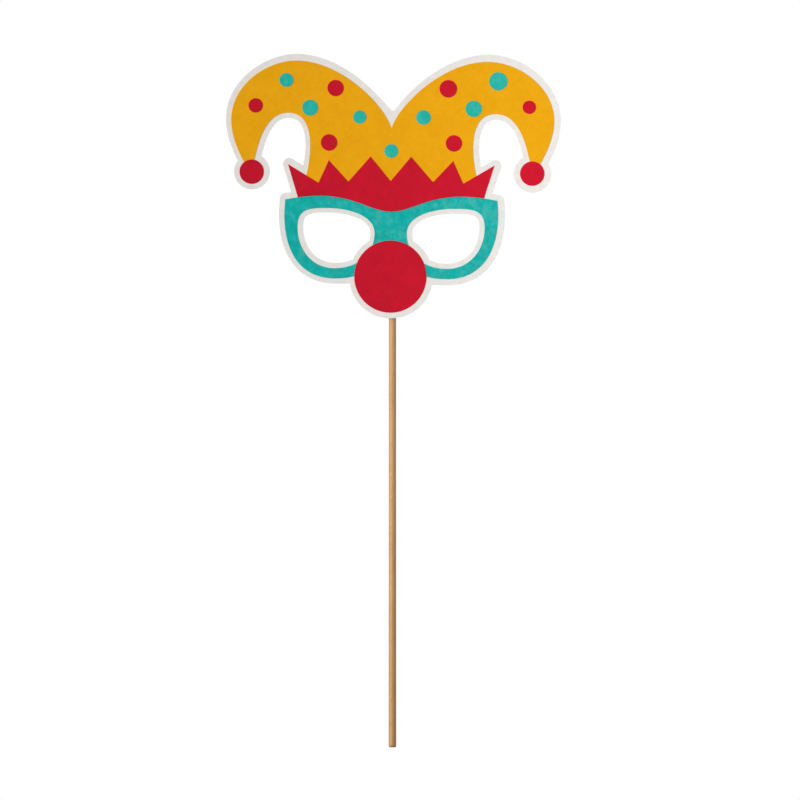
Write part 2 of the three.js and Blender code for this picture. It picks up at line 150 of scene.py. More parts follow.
@contextmanager
def editing(piece: Piece) -> Iterator[bmesh.types.BMesh]:
    """Opens a piece in edit mode with nothing selected, and closes it afterwards.

    Args:
        piece: The mesh object to edit.

    Yields:
        The mesh under edit, in which vertices, edges and faces can be selected.
    """
    take_up(piece)
    bpy.ops.object.mode_set(mode="EDIT")
    bpy.ops.mesh.select_all(action="DESELECT")
    yield bmesh.from_edit_mesh(piece.data)
    bpy.ops.object.mode_set(mode="OBJECT")


def mark(mesh: bmesh.types.BMesh, chosen: list, kind: str) -> None:
    """Selects some parts of a mesh under edit.

    Args:
        mesh: The mesh under edit.
        chosen: The vertices, edges or faces to select.
        kind: The selection mode: VERT, EDGE or FACE.
    """
    bpy.ops.mesh.select_mode(type=kind)
    for part in chosen:
        part.select_set(True)
    mesh.select_flush_mode()


def finish_with(piece: Piece, kind: str, **settings: object) -> None:
    """Adds a modifier to a piece and applies it.

    Args:
        piece: The mesh object to change.
        kind: The modifier's type.
        **settings: The modifier's values by name.
    """
    take_up(piece)
    modifier = piece.modifiers.new(kind.title(), kind)
    for name, value in settings.items():
        setattr(modifier, name, value)
    bpy.ops.object.modifier_apply(modifier=modifier.name)


def added(name: str, data: bpy.types.ID | None) -> Piece:
    """Makes an object and puts it in the scene.

    Args:
        name: Its name.
        data: Its data. An empty has none.

    Returns:
        The object.
    """
    thing = bpy.data.objects.new(name, data)
    bpy.context.scene.collection.objects.link(thing)
    return thing


def renamed(name: str) -> Piece:
    """Names the active object and its mesh.

    Args:
        name: The new name.

    Returns:
        The object.
    """
    piece = bpy.context.active_object
    piece.name = piece.data.name = name
    return piece


def copy_of(node: str, name: str) -> Piece:
    """Copies a node of the solid model as one clean shell.

    Args:
        node: The node's name.
        name: The new piece's name.

    Returns:
        The copy, whose flat areas are single faces.
    """
    piece = added(name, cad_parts[node].data.copy())
    piece.data.name = name
    piece.data.materials.clear()
    with editing(piece):
        bpy.ops.mesh.select_all(action="SELECT")
        bpy.ops.mesh.customdata_custom_splitnormals_clear()
        bpy.ops.mesh.remove_doubles(threshold=WELD_DISTANCE)
        bpy.ops.mesh.dissolve_limited(angle_limit=FLAT_ANGLE)
    return piece


def shade(piece: Piece, crease: float = 50.0) -> None:
    """Shades a piece smooth, except over creases, and keeps its large flat faces flat.

    Args:
        piece: The finished mesh object.
        crease: The smallest angle of a crease, in degrees.
    """
    take_up(piece)
    bpy.ops.object.shade_smooth_by_angle(angle=math.radians(crease))
    finish_with(piece, "WEIGHTED_NORMAL", mode="FACE_AREA", weight=50, keep_sharp=True)


def rims(mesh: bmesh.types.BMesh, level: float) -> list[bmesh.types.BMEdge]:
    """Finds the edges where a flat face at a level meets a cut side.

    Args:
        mesh: The mesh under edit.
        level: The face's place along Y.

    Returns:
        The edges of that face's outline.
    """
    flat = [edge for edge in mesh.edges if all(abs(v.co.y - level) < LEVEL_TOLERANCE for v in edge.verts)]
    return [edge for edge in flat if any(abs(face.normal.y) < SIDE_LEAN for face in edge.link_faces)]


def round_rim(piece: Piece, level: float, width: float, steps: int) -> None:
    """Rounds over the outline of a flat piece at one of its levels.

    Args:
        piece: The flat piece.
        level: The level's place along Y.
        width: How wide the rounding is.
        steps: How many faces it has across.
    """
    with editing(piece) as mesh:
        mark(mesh, rims(mesh, level), "EDGE")
        bpy.ops.mesh.bevel(offset=width, segments=steps, affect="EDGES", clamp_overlap=True)


def cut_lines(axis: int, low: float, high: float, spacing: float) -> None:
    """Cuts the faces of the mesh under edit along evenly spaced lines.

    Args:
        axis: The axis that the lines follow one another along: 0 for X, or 2 for Z.
        low: Where the mesh begins on it.
        high: Where the mesh ends on it.
        spacing: The distance between lines.
    """
    normal = Matrix.Identity(3).col[axis]
    for line in range(1, math.ceil((high - low) / spacing)):
        bpy.ops.mesh.select_all(action="SELECT")
        bpy.ops.mesh.bisect(plane_co=normal * (low + line * spacing), plane_no=normal)


# Materials


class Bench:
    """Where one material is mixed. Patterns are laid over the object's own coordinates."""

    def __init__(self, name: str) -> None:
        """Starts a material with a plain shader.

        Args:
            name: The material's name.
        """
        self.material = bpy.data.materials.new(name)
        self.material.use_nodes = True
        self.tree = self.material.node_tree
        self.shader = next(node for node in self.tree.nodes if node.type == "BSDF_PRINCIPLED")
        self.place = self.node("ShaderNodeTexCoord").outputs["Object"]

    def node(self, kind: str, feeds: dict[str, object] | None = None, **settings: object) -> bpy.types.Node:
        """Adds a node.

        Args:
            kind: The node's type.
            feeds: What goes into its inputs, by their names.
            **settings: Its own properties by name.

        Returns:
            The new node.
        """
        made = self.tree.nodes.new(kind)
        for name, value in settings.items():
            setattr(made, name, value)
        for name, value in (feeds or {}).items():
            self.feed(made.inputs[name], value)
        return made

    def feed(self, socket: Socket, value: object) -> None:
        """Feeds a node's input.

        Args:
            socket: The input.
            value: What it takes: a plain value, or the socket to link it to.
        """
        if isinstance(value, Socket):
            self.tree.links.new(value, socket)
        else:
            socket.default_value = value

    def set(self, **values: float) -> None:
        """Sets the shader's own values, whose names are given with underscores."""
        for name, value in values.items():
            self.shader.inputs[name.replace("_", " ")].default_value = value

    def noise(
        self,
        size: Triple,
        turn: float = 0.0,
        detail: float = 2.0,
        roughness: float = 0.5,
        wobble: float = 0.0,
        shift: float = 0.0,
    ) -> Socket:
        """Lays a cloudy pattern over the piece.

        Args:
            size: The pattern's size along X, Y and Z.
            turn: How far it is turned in the plane of the mask, in degrees.
            detail: How many finer patterns it holds.
            roughness: How strong these are.
            wobble: How far it is distorted.
            shift: How far it is moved, to tell it from another of the same size.

        Returns:
            The pattern's strength, about one half on average.
        """
        turned = self.mapped(self.place, Rotation=(0.0, math.radians(turn), 0.0))
        scaled = self.mapped(turned, Scale=tuple(1 / side for side in size), Location=(shift,) * 3)
        feeds = {"Vector": scaled, "Scale": 1.0, "Detail": detail, "Roughness": roughness}
        return self.node("ShaderNodeTexNoise", {**feeds, "Distortion": wobble}).outputs["Fac"]

    def mapped(self, place: object, **moves: tuple[float, ...]) -> Socket:
        """Turns, scales or moves a place by the moves named, and returns the new place."""
        feeds = {"Vector": place, **moves}
        return self.node("ShaderNodeMapping", feeds, vector_type="POINT").outputs["Vector"]

    def along(self, axis: str) -> Socket:
        """Reads how far along X, Y or Z a point of the piece lies."""
        return self.node("ShaderNodeSeparateXYZ", {"Vector": self.place}).outputs[axis]

    def math(self, operation: str, first: object, second: object = 0.0) -> Socket:
        """Works out one sum.

        Args:
            operation: The kind of sum, such as ADD.
            first: A number or a socket.
            second: Another.

        Returns:
            The result.
        """
        made = self.node("ShaderNodeMath", operation=operation)
        self.feed(made.inputs[0], first)
        self.feed(made.inputs[1], second)
        return made.outputs["Value"]

    def spread(self, value: object, low: float, high: float) -> Socket:
        """Stretches a number so that it runs from 0 at a low mark to 1 at a high one."""
        feeds = {"Value": value, "From Min": low, "From Max": high}
        return self.node("ShaderNodeMapRange", feeds, interpolation_type="SMOOTHSTEP").outputs["Result"]

    def show(self, pattern: object, band: Band) -> Socket:
        """Stretches a pattern so that it runs from 0 to 1 over a band of its strength."""
        return self.spread(pattern, *band.value)

    def blend(self, first: object, second: object, share: float) -> Socket:
        """Adds two patterns by a share of the second, and returns the sum."""
        rest = self.math("MULTIPLY", first, 1 - share)
        return self.math("ADD", rest, self.math("MULTIPLY", second, share))

    def tones(self, value: object, stops: dict[float, str]) -> Socket:
        """Turns a number into a colour.

        Args:
            value: The number, from 0 to 1.
            stops: The display colour at each of some numbers, in rising order.

        Returns:
            The colour, blended between the stops.
        """
        made = self.node("ShaderNodeValToRGB", {"Fac": value})
        elements = made.color_ramp.elements
        while len(elements) < len(stops):
            elements.new(0.5)
        for element, (position, code) in zip(elements, stops.items()):
            element.position = position
            element.color = linear(code)
        return made.outputs["Color"]

    def ramp(self, value: object, *codes: str) -> Socket:
        """Turns a number from 0 to 1 into a colour between evenly spaced display colours."""
        return self.tones(value, {step / (len(codes) - 1): code for step, code in enumerate(codes)})

    def mix(self, share: object, first: object, second: object, blend: str = "MIX") -> Socket:
        """Mixes two colours.

        Args:
            share: The share of the second.
            first: The first colour.
            second: The second colour.
            blend: How they are mixed, such as MULTIPLY.

        Returns:
            The mixed colour.
        """
        made = self.node("ShaderNodeMix", data_type="RGBA", blend_type=blend)
        sockets = [socket for socket in made.inputs if socket.enabled]
        for socket, value in zip(sockets, (share, first, second)):
            self.feed(socket, value)
        return next(socket for socket in made.outputs if socket.enabled)

    def colour(self, value: object) -> None:
        """Gives the shader its colour."""
        self.feed(self.shader.inputs["Base Color"], value)

    def relief(self, *heights: tuple[object, float]) -> None:
        """Gives the shader a fine relief.

        Args:
            *heights: Patterns, each with how high it stands.
        """
        normal: object = None
        for height, depth in heights:
            bump = self.node("ShaderNodeBump", {"Height": height, "Distance": depth})
            if normal is not None:
                self.feed(bump.inputs["Normal"], normal)
            normal = bump.outputs["Normal"]
        self.feed(self.shader.inputs["Normal"], normal)


@dataclass(frozen=True)
class Fibres:
    """Fine crossed fibres in the face of a paper.

    They lie in several turns, in degrees, and reach four times as deep as they are wide. Their shadow is
    the display colour that the deepest of them give to white.
    """

    length: float
    width: float
    turns: tuple[float, ...]
    shadow: str

    def pattern(self, bench: Bench) -> Socket:
        """Lays the fibres over the piece.

        Args:
            bench: Where the material is mixed.

        Returns:
            Their height, about one half on average.
        """
        size = (self.length, 4 * self.width, self.width)
        layers = [
            bench.noise(size, turn, detail=2.0, wobble=0.6, shift=3.7 * index)
            for index, turn in enumerate(self.turns)
        ]
        total = layers[0]
        for layer in layers[1:]:
            total = bench.math("ADD", total, layer)
        return bench.math("DIVIDE", total, float(len(layers)))

    def over(self, bench: Bench, ground: object, pattern: object) -> Socket:
        """Lets the fibres show faintly as lighter and darker threads in a colour."""
        threads = bench.ramp(bench.show(pattern, Band.EVEN), self.shadow, WHITE)
        return bench.mix(1.0, ground, threads, "MULTIPLY")


@dataclass(frozen=True)
class ColouredPaper:
    """Matt coloured paper with a cloudy tone, as the mask's sheets are.

    Attributes:
        name: The material's name.
        tones: Display colours from the deepest patch to the palest.
        cloud: How wide and how high a cloud is.
        lean: How far the clouds lean, in degrees.
        fleck: The display colour of small flecks.
        fleck_share: How strongly the flecks show.
        contrast: How quickly the tone goes from deep to pale.
        start: Where in their endless pattern the clouds begin.
        tone_drift_and_painted_light: How much paler the paper grows towards +X, as a share per metre.
            It is painted light for the stronger light on the mask's right; in the teal, partly the print's
            own tone.
        dulled: The display colour that its dullest spots give to white.
        spot: How wide a dull spot is.
        fleck_size: How wide a fleck is.
        fibres: Its fibres.
        relief: How high the fibres and the clouds stand.
    """

    name: str
    tones: tuple[str, str, str]
    cloud: tuple[float, float]
    lean: float
    fleck: str
    fleck_share: float
    contrast: float
    start: float = 0.0
    tone_drift_and_painted_light: float = 0.0
    dulled: str = "FEFEFE"
    spot: float = 4 * MM
    fleck_size: float = 1.1 * MM
    fibres: Fibres = Fibres(length=2.4 * MM, width=0.16 * MM, turns=(20.0, 75.0, 140.0), shadow="F9F9F9")
    relief: tuple[float, float] = (0.05 * MM, 0.12 * MM)

    def material(self) -> Material:
        """Mixes the paper.

        Returns:
            The material.
        """
        bench = Bench(self.name)
        mottle = self.mottle(bench)
        flecked = self.flecked(bench, self.ground(bench, mottle))
        fibres = self.fibres.pattern(bench)
        bench.colour(self.fibres.over(bench, flecked, fibres))
        fibre_height, cloud_height = self.relief
        bench.relief((fibres, fibre_height), (mottle, cloud_height))
        bench.set(Roughness=0.86, Specular_IOR_Level=0.09)
        return bench.material

    def mottle(self, bench: Bench) -> Socket:
        """Lays clouds and finer blotches over the piece.

        Args:
            bench: Where the material is mixed.

        Returns:
            Their strength.
        """
        wide, high = self.cloud
        clouds = bench.noise(
            (wide, wide, high), self.lean, detail=3.0, roughness=0.55, wobble=0.3, shift=self.start
        )
        blotches = bench.noise((wide / 3, wide / 3, high / 3), -self.lean, detail=2.0, shift=5.1)
        return bench.blend(clouds, blotches, share=0.4)

    def ground(self, bench: Bench, mottle: object) -> Socket:
        """Turns the clouds into tones, with duller spots in them.

        Args:
            bench: Where the material is mixed.
            mottle: The clouds' strength.

        Returns:
            The colour.
        """
        # Painted light: the paper grows paler towards +X, for the stronger light on the mask's right-hand
        # side; in the teal it is partly the print's own change of tone.
        mottle_and_painted_light = bench.math("ADD", mottle, bench.math("MULTIPLY", bench.along("X"), self.tone_drift_and_painted_light))
        reach = 0.5 / self.contrast
        clear = bench.ramp(bench.spread(mottle_and_painted_light, 0.5 - reach, 0.5 + reach), *self.tones)
        spots = bench.show(bench.noise((self.spot,) * 3, detail=2.0, shift=13.7), Band.EVEN)
        return bench.mix(1.0, clear, bench.ramp(spots, self.dulled, WHITE), "MULTIPLY")

    def flecked(self, bench: Bench, ground: object) -> Socket:
        """Strews small flecks over a colour, and returns the result."""
        flecks = bench.show(bench.noise((self.fleck_size,) * 3, detail=1.0, shift=9.4), Band.FLECKS)
        return bench.mix(bench.math("MULTIPLY", flecks, self.fleck_share), ground, linear(self.fleck))


@dataclass(frozen=True)
class WhitePaper:
    """Matt white board or paper with faint grey clouds, fine grit and stray hairs."""

    name: str
    tones: tuple[str, str, str]
    cloud: float
    grit: float
    hair: str = "8F8A80"
    hair_share: float = 0.18
    hair_size: tuple[float, float] = (2.6 * MM, 0.3 * MM)
    fibres: Fibres = Fibres(length=2.0 * MM, width=0.14 * MM, turns=(10.0, 70.0, 130.0), shadow="F9F8F7")

    def material(self) -> Material:
        """Mixes the paper.

        Returns:
            The material.
        """
        bench = Bench(self.name)
        clouds = bench.noise((self.cloud,) * 3, detail=4.0, roughness=0.6)
        ground = bench.ramp(bench.show(clouds, Band.BROAD), *self.tones)
        fibres = self.fibres.pattern(bench)
        threaded = self.fibres.over(bench, ground, fibres)
        long, thin = self.hair_size
        strands = bench.noise((long, thin, thin), turn=35.0, detail=1.0, wobble=1.2)
        hairs = bench.math("MULTIPLY", bench.show(strands, Band.HAIRS), self.hair_share)
        bench.colour(bench.mix(hairs, threaded, linear(self.hair)))
        bench.relief((fibres, self.grit), (clouds, 2 * self.grit))
        bench.set(Roughness=0.88, Specular_IOR_Level=0.12)
        return bench.material


@dataclass(frozen=True)
class BoardCoreAndRimShade:
    """The board's cut edge: pressed grey-white pulp in fine layers.

    A layer runs on for a strand's length. A crumb has a width and a thickness. Its darker tone is partly
    painted shade, which makes the board's rim read as a faint grey line.
    """

    name: str
    tones: tuple[str, str]
    layer: float
    strand: float = 4 * MM
    crumb: tuple[float, float] = (0.5 * MM, 0.12 * MM)
    relief: tuple[float, float] = (0.06 * MM, 0.05 * MM)

    def material(self) -> Material:
        """Mixes the cut edge.

        Returns:
            The material.
        """
        bench = Bench(self.name)
        layers = bench.noise((self.strand, self.layer, self.strand), detail=3.0, roughness=0.6, wobble=0.4)
        bench.colour(bench.ramp(bench.show(layers, Band.BROAD), *self.tones))
        wide, thick = self.crumb
        crumbs = bench.noise((wide, thick, wide), detail=2.0)
        layer_height, crumb_height = self.relief
        bench.relief((layers, layer_height), (crumbs, crumb_height))
        bench.set(Roughness=0.95, Specular_IOR_Level=0.1)
        return bench.material


@dataclass(frozen=True)
class DowelWood:
    """Bare light hardwood with its grain along the stick.

    Its sizes are a width and a length. Painted shade darkens it a little over its painted shade length,
    at the stick's lower end, where the light falls off towards the bottom.
    """

    name: str
    tones: tuple[str, str, str]
    pore: str
    grain: tuple[float, float]
    painted_shade: str
    painted_shade_length: float
    figure: tuple[float, float] = (9 * MM, 26 * MM)
    pore_size: tuple[float, float] = (0.13 * MM, 3.4 * MM)
    pore_share: float = 0.5
    relief: tuple[float, float] = (0.05 * MM, 0.03 * MM)

    def material(self) -> Material:
        """Mixes the wood of the stick's long side.

        Returns:
            The material.
        """
        bench = Bench(self.name)
        grain = bench.noise(self.upright(self.grain), detail=4.0, roughness=0.6, wobble=0.25)
        bands = bench.noise(self.upright(self.figure), detail=2.0, shift=2.3)
        figured = bench.show(bench.blend(grain, bands, share=0.38), Band.GRAIN)
        ground = bench.ramp(figured, *self.tones)
        streaks = bench.noise(self.upright(self.pore_size), detail=1.0, shift=7.9)
        pores = bench.show(streaks, Band.PORES)
        clean = bench.mix(bench.math("MULTIPLY", pores, self.pore_share), ground, linear(self.pore))
        # Painted shade: the wood darkens towards the stick's lower end, for the light that falls off there.
        painted_shade_share = bench.spread(bench.along("Z"), self.painted_shade_length, 0.0)
        bench.colour(bench.mix(painted_shade_share, clean, linear(self.painted_shade), "MULTIPLY"))
        grain_height, pore_depth = self.relief
        bench.relief((grain, grain_height), (bench.math("SUBTRACT", 1.0, pores), pore_depth))
        bench.set(Roughness=0.46, Specular_IOR_Level=0.75)
        return bench.material

    @staticmethod
    def upright(size: tuple[float, float]) -> Triple:
        """Sets a width and a length along the stick, and returns the size along X, Y and Z."""
        width, length = size
        return width, width, length


@dataclass(frozen=True)
class EndGrain:
    """The stick's sawn ends, with growth rings and open pores.

    The rings' heart lies beside the stick's axis.
    """

    name: str
    tones: tuple[str, str]
    ring: float
    heart: float
    pore_size: float = 0.16 * MM
    pore_share: float = 0.5
    relief: float = 0.04 * MM

    def material(self) -> Material:
        """Mixes the wood of the stick's ends.

        Returns:
            The material.
        """
        bench = Bench(self.name)
        moved = bench.mapped(bench.place, Location=(self.heart, self.heart / 2, 0.0))
        feeds = {"Vector": moved, "Scale": WAVE_RING / self.ring, "Distortion": 1.2, "Detail": 2.0}
        rings = bench.node(
            "ShaderNodeTexWave", feeds, wave_type="RINGS", rings_direction="Z", wave_profile="SAW"
        )
        late, early = self.tones
        ground = bench.tones(rings.outputs["Fac"], {0.0: early, 0.75: early, 1.0: late})
        dots = bench.noise((self.pore_size,) * 3, detail=1.0)
        pores = bench.math("MULTIPLY", bench.show(dots, Band.END_PORES), self.pore_share)
        bench.colour(bench.mix(pores, ground, linear(late)))
        bench.relief((dots, self.relief))
        bench.set(Roughness=0.85, Specular_IOR_Level=0.15)
        return bench.material


@dataclass(frozen=True)
class MeltGlue:
    """Milky hot-melt glue with a gloss and dimples. Its tones are those of the thick and the thin glue."""

    name: str
    tones: tuple[str, str]
    cloud: float = 3 * MM
    dimple: float = 1.6 * MM
    relief: float = 0.12 * MM

    def material(self) -> Material:
        """Mixes the glue.

        Returns:
            The material.
        """
        bench = Bench(self.name)
        clouds = bench.noise((self.cloud,) * 3, detail=2.0, wobble=0.5)
        bench.colour(bench.ramp(bench.show(clouds, Band.MILKY), *self.tones))
        bench.relief((bench.noise((self.dimple,) * 3, detail=1.0, shift=4.0), self.relief))
        bench.set(Roughness=0.3, Specular_IOR_Level=0.5, Coat_Weight=0.4, Coat_Roughness=0.15)
        return bench.material


class Finishes:
    """The finishes of this mask, each mixed once and shared by the pieces that wear it."""

    def __init__(self) -> None:
        """Mixes all of the materials."""
        self.yellow = ColouredPaper(
            name="yellow_paper",
            tones=("E4A108", "EAA60C", "F0AB10"), contrast=1.6,
            cloud=(9 * MM, 7 * MM), lean=-35.0,
            fleck="E09A0C", fleck_share=0.2,
        ).material()
        self.teal = ColouredPaper(
            name="teal_paper",
            tones=("00AFA8", "1BB3AC", "44B8AE"), contrast=2.5, tone_drift_and_painted_light=0.45, dulled="F1F1F1",
            cloud=(6 * MM, 9 * MM), lean=12.0, start=41.7,
            fleck="0AA39D", fleck_share=0.45,
        ).material()
        self.dot_teal = ColouredPaper(
            name="teal_dot_paper",
            tones=("12B2A4", "2AB6A7", "43B9AB"), contrast=1.8, tone_drift_and_painted_light=0.3, dulled="F6F6F6",
            cloud=(6 * MM, 9 * MM), lean=12.0,
            fleck="0AA39D", fleck_share=0.3,
        ).material()
        self.red = ColouredPaper(
            name="red_paper",
            tones=("BC1429", "C6142B", "D0152E"), contrast=1.5, tone_drift_and_painted_light=1.6,
            cloud=(9 * MM, 9 * MM), lean=25.0,
            fleck="B91227", fleck_share=0.2,
        ).material()
        self.board = WhitePaper(
            name="board_liner", tones=("E4E0DC", "E7E3DF", "EAE7E4"), cloud=4.5 * MM, grit=0.03 * MM
        ).material()
        # The core's darker tone is partly painted shade along the board's rim.
        self.core = BoardCoreAndRimShade(name="board_core_and_rim_shade", tones=("B9B4AB", "D8D4CC"), layer=0.16 * MM).material()
        self.patch = WhitePaper(
            name="patch_paper", tones=("EAE6E0", "EEEAE5", "F2EFEA"), cloud=4 * MM, grit=0.04 * MM
        ).material()
        self.wood = DowelWood(
            name="dowel_wood",
            tones=("B78650", "BF8F57", "C6975F"),
            pore="8A5F38",
            grain=(0.7 * MM, 22 * MM),
            # The darkening towards the stick's lower end is painted shade.
            painted_shade="F1EDDD",
            painted_shade_length=170 * MM,
        ).material()
        self.end_grain = EndGrain(
            name="end_grain", tones=("8F6238", "B78A5B"), ring=0.9 * MM, heart=4.5 * MM
        ).material()
        self.glue = MeltGlue(name="melt_glue", tones=("E0D9C9", "EFEBE0")).material()


# The object's pieces


def enrol(piece: Piece, slot: Slot, *nodes: str) -> Piece:
    """Puts a finished piece in the place of nodes of the solid model.

    Args:
        piece: The finished piece.
        slot: The record's slot that it takes its finish from. It is not used.
        *nodes: The nodes that it stands for.

    Returns:
        The same piece.
    """
    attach(piece, BODY)
    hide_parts(*nodes)
    return piece


@dataclass
class Board:
    """The die-cut board. The die rounds its front rim; its cut edge shows the core, partly painted shade."""

    front_rounding: float = 0.3 * MM
    back_rounding: float = 0.1 * MM
    core_and_rim_shade_lean: float = 0.35

    def build(self, finishes: Finishes) -> list[Piece]:
        """Builds and dresses the board.

        Args:
            finishes: The mask's finishes.

        Returns:
            The board, alone in a list.
        """
        piece = copy_of("mask_board", "board")
        round_rim(piece, BOARD_FRONT, self.front_rounding, steps=4)
        round_rim(piece, BOARD_BACK, self.back_rounding, steps=2)
        self.dress(piece, finishes)
        shade(piece)
        return [enrol(piece, Slot.BOARD, "mask_board")]

    def dress(self, piece: Piece, finishes: Finishes) -> None:
        """Gives the cut edge the core, partly painted shade, and the other faces the white liner.

        Args:
            piece: The board.
            finishes: The mask's finishes.
        """
        piece.data.materials.append(finishes.board)
        piece.data.materials.append(finishes.core)
        for face in piece.data.polygons:
            # The cut edge takes the core, whose darker tone is partly painted shade along the rim.
            face.material_index = int(abs(face.normal.y) < self.core_and_rim_shade_lean)


@dataclass
class LowerSheets:
    """The hat and the spectacle frames, pasted straight on the board."""

    rounding: float = 0.07 * MM

    def build(self, finishes: Finishes) -> list[Piece]:
        """Builds and dresses both sheets.

        Args:
            finishes: The mask's finishes.

        Returns:
            The sheets.
        """
        return [
            self.sheet("hat_sheet", "hat", Slot.YELLOW, finishes.yellow),
            self.sheet("glasses_sheet", "spectacle_frames", Slot.TEAL, finishes.teal),
        ]

    def sheet(self, node: str, name: str, slot: Slot, finish: Material) -> Piece:
        """Builds one sheet.

        Args:
            node: The solid that it stands for.
            name: The piece's name.
            slot: The record's slot for it.
            finish: Its material.

        Returns:
            The dressed sheet.
        """
        piece = copy_of(node, name)
        round_rim(piece, LOWER_SHEET_FRONT, self.rounding, steps=2)
        piece.data.materials.append(finish)
        shade(piece)
        return enrol(piece, slot, node)


@dataclass
class UpperSheets:
    """The collar, the nose and the pompoms, which lie partly on a lower sheet and partly on bare board."""

    rounding: float = 0.07 * MM
    spacing: float = 1.5 * MM
    reach: float = 2.4 * MM
    inner_reach: float = 0.4
    probes: int = 16

    def build(self, finishes: Finishes) -> list[Piece]:
        """Builds and dresses the four sheets.

        Args:
            finishes: The mask's finishes.

        Returns:
            The sheets.
        """
        below = self.lower_surface("hat_sheet", "glasses_sheet")
        names = {
            "collar_sheet": "collar",
            "nose_disc": "nose",
            "pompom_left": "pompom_disc_left",
            "pompom_right": "pompom_disc_right",
        }
        return [self.sheet(node, name, below, finishes.red) for node, name in names.items()]

    def lower_surface(self, *nodes: str) -> list[BVHTree]:
        """Prepares lower sheets for finding what lies under a point.

        Args:
            *nodes: Their solids.

        Returns:
            A tree of faces for each.
        """
        made = []
        for node in nodes:
            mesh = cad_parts[node].data
            corners = [vertex.co.copy() for vertex in mesh.vertices]
            made.append(BVHTree.FromPolygons(corners, [tuple(face.vertices) for face in mesh.polygons]))
        return made

    def sheet(self, node: str, name: str, below: list[BVHTree], finish: Material) -> Piece:
        """Builds one sheet and lets it down on what lies under it.

        Args:
            node: The solid that it stands for.
            name: The piece's name.
            below: The lower sheets.
            finish: Its material.

        Returns:
            The dressed sheet.
        """
        piece = copy_of(node, name)
        round_rim(piece, UPPER_SHEET_FRONT, self.rounding, steps=2)
        corners = [vertex.co for vertex in piece.data.vertices]
        with editing(piece):
            for axis in (0, 2):
                places = [corner[axis] for corner in corners]
                cut_lines(axis, min(places), max(places), self.spacing)
        for vertex in piece.data.vertices:
            held_up = self.support(vertex.co, below)
            vertex.co.y += (1 - held_up) * SHEET_THICKNESS
        piece.data.materials.append(finish)
        shade(piece)
        return enrol(piece, Slot.RED, node)

    def support(self, place: Vector, below: list[BVHTree]) -> float:
        """Finds what share of the ground round a point is a lower sheet, by probes in two rings round it.

        Args:
            place: The point.
            below: The lower sheets.

        Returns:
            The share, from 0 on the bare board to 1 on a sheet.
        """
        found = 0
        for probe in range(self.probes):
            ring = self.reach * (self.inner_reach if probe % 2 else 1.0)
            turn = 2 * math.pi * probe / self.probes
            across, up = place.x + ring * math.cos(turn), place.z + ring * math.sin(turn)
            start = Vector((across, 2 * UPPER_SHEET_FRONT, up))
            found += any(tree.ray_cast(start, Vector((0, 1, 0)))[0] is not None for tree in below)
        return found / self.probes


@dataclass
class Dots:
    """The hat's thirteen punched dots, modelled once and copied."""

    sides: int = 72
    rounding: float = 0.07 * MM
    teal: tuple[str, ...] = ("crown", "horn", "notch", "centre")

    def build(self, finishes: Finishes) -> list[Piece]:
        """Builds and dresses the dots.

        Args:
            finishes: The mask's finishes.

        Returns:
            The dots.
        """
        pattern = self.pattern()
        made = []
        for node in sorted(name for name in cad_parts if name.startswith("dot_")):
            is_teal = node.split("_")[1] in self.teal
            slot, finish = (Slot.TEAL, finishes.dot_teal) if is_teal else (Slot.RED, finishes.red)
            made.append(self.copy(pattern, node, slot, finish))
        bpy.data.objects.remove(pattern)
        return made

    def pattern(self) -> Piece:
        """Models one dot with a radius of a metre, for its copies to scale down.

        Returns:
            The dot.
        """
        deselect_all()
        bpy.ops.mesh.primitive_circle_add(
            vertices=self.sides, radius=1.0, fill_type="NGON", rotation=(math.pi / 2, 0, 0)
        )
        piece = renamed("dot_pattern")
        bpy.ops.object.transform_apply(location=True, rotation=True, scale=True)
        with editing(piece):
            bpy.ops.mesh.select_all(action="SELECT")
            bpy.ops.mesh.extrude_region_move(TRANSFORM_OT_translate={"value": (0, -SHEET_THICKNESS, 0)})
            bpy.ops.mesh.select_all(action="SELECT")
            bpy.ops.mesh.normals_make_consistent(inside=False)
        return piece

    def copy(self, pattern: Piece, node: str, slot: Slot, finish: Material) -> Piece:
        """Sets a copy of the dot in the place of one solid.

        Args:
            pattern: The dot to copy.
            node: The solid that the copy stands for.
            slot: The record's slot for it.
            finish: Its material.

        Returns:
            The dressed dot.
        """
        low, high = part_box(node)
        centre = (low + high) / 2
        radius = (high.x - low.x) / 2
        piece = added(f"{node}_disc", pattern.data.copy())
        piece.data.name = piece.name
        place = Vector((centre.x, LOWER_SHEET_FRONT, centre.z))
        piece.data.transform(Matrix.Translation(place) @ Matrix.Diagonal((radius, 1, radius, 1)))
        round_rim(piece, UPPER_SHEET_FRONT, self.rounding, steps=2)
        piece.data.materials.append(finish)
        shade(piece)
        return enrol(piece, slot, node)


